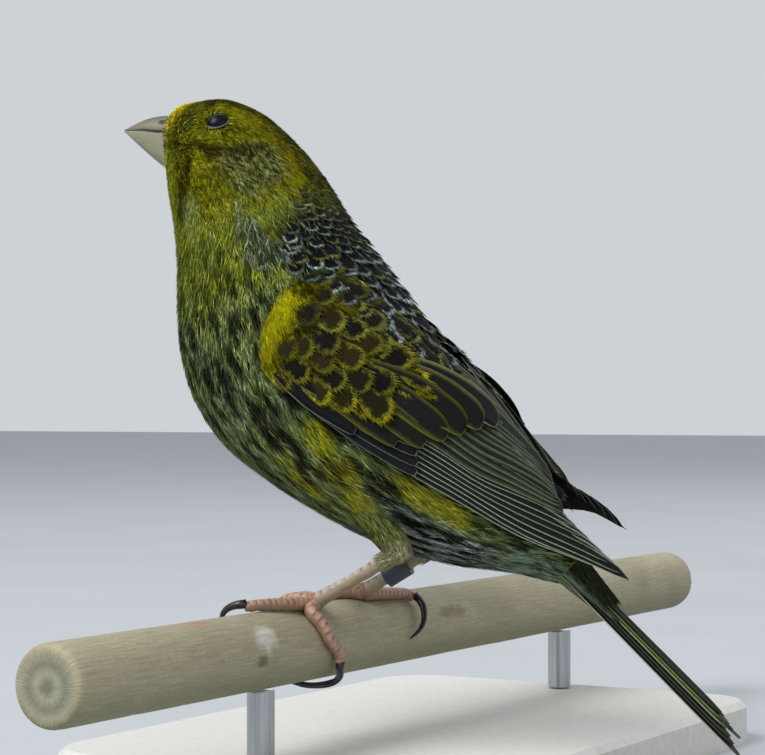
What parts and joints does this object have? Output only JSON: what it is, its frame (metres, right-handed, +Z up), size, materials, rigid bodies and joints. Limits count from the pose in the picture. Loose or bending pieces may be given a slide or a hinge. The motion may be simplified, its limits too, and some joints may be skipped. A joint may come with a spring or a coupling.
{
  "type": "perched canary model",
  "caption": "Life-size still model of a lizard canary gripping a cut wooden dowel perch on a plain display stand.",
  "frame": {"origin": "underside of the stand's base, right below the perch's axis between the bird's feet", "axes": "+Z up; the bird faces -X with its left side towards -Y; the perch runs near +Y"},
  "size_m": [0.1014, 0.1948, 0.1049],
  "materials": {
    "plumage": "soft small feathers, olive, yellow and black",
    "flight_feathers": "black vanes with fine pale edges",
    "bill_horn": "pale horn, satin",
    "claw_horn": "near-black horn",
    "leg_skin": "dull flesh-coloured scaled skin",
    "eye": "wet gloss, near black",
    "perch_wood": "pale unvarnished dowel",
    "stand_base": "plain pale painted wood",
    "stand_metal": "satin",
    "ring_plastic": "plain dark"
  },
  "bodies": {
    "root": {"head": "plumage", "neck": "plumage", "torso": "plumage", "rump": "plumage", "left_thigh": "plumage", "right_thigh": "plumage", "left_wing": "flight_feathers", "right_wing": "flight_feathers", "tail": "flight_feathers", "upper_bill": "bill_horn", "lower_bill": "bill_horn", "left_eye": "eye", "right_eye": "eye", "left_foot": "leg_skin", "right_foot": "leg_skin", "left_outer_claw": "claw_horn", "left_middle_claw": "claw_horn", "left_inner_claw": "claw_horn", "left_hallux_claw": "claw_horn", "right_outer_claw": "claw_horn", "right_middle_claw": "claw_horn", "right_inner_claw": "claw_horn", "right_hallux_claw": "claw_horn", "leg_ring": "ring_plastic", "perch": "perch_wood", "stand_base": "stand_base", "stand_rod_1": "stand_metal", "stand_rod_2": "stand_metal"}
  },
  "joints": []
}
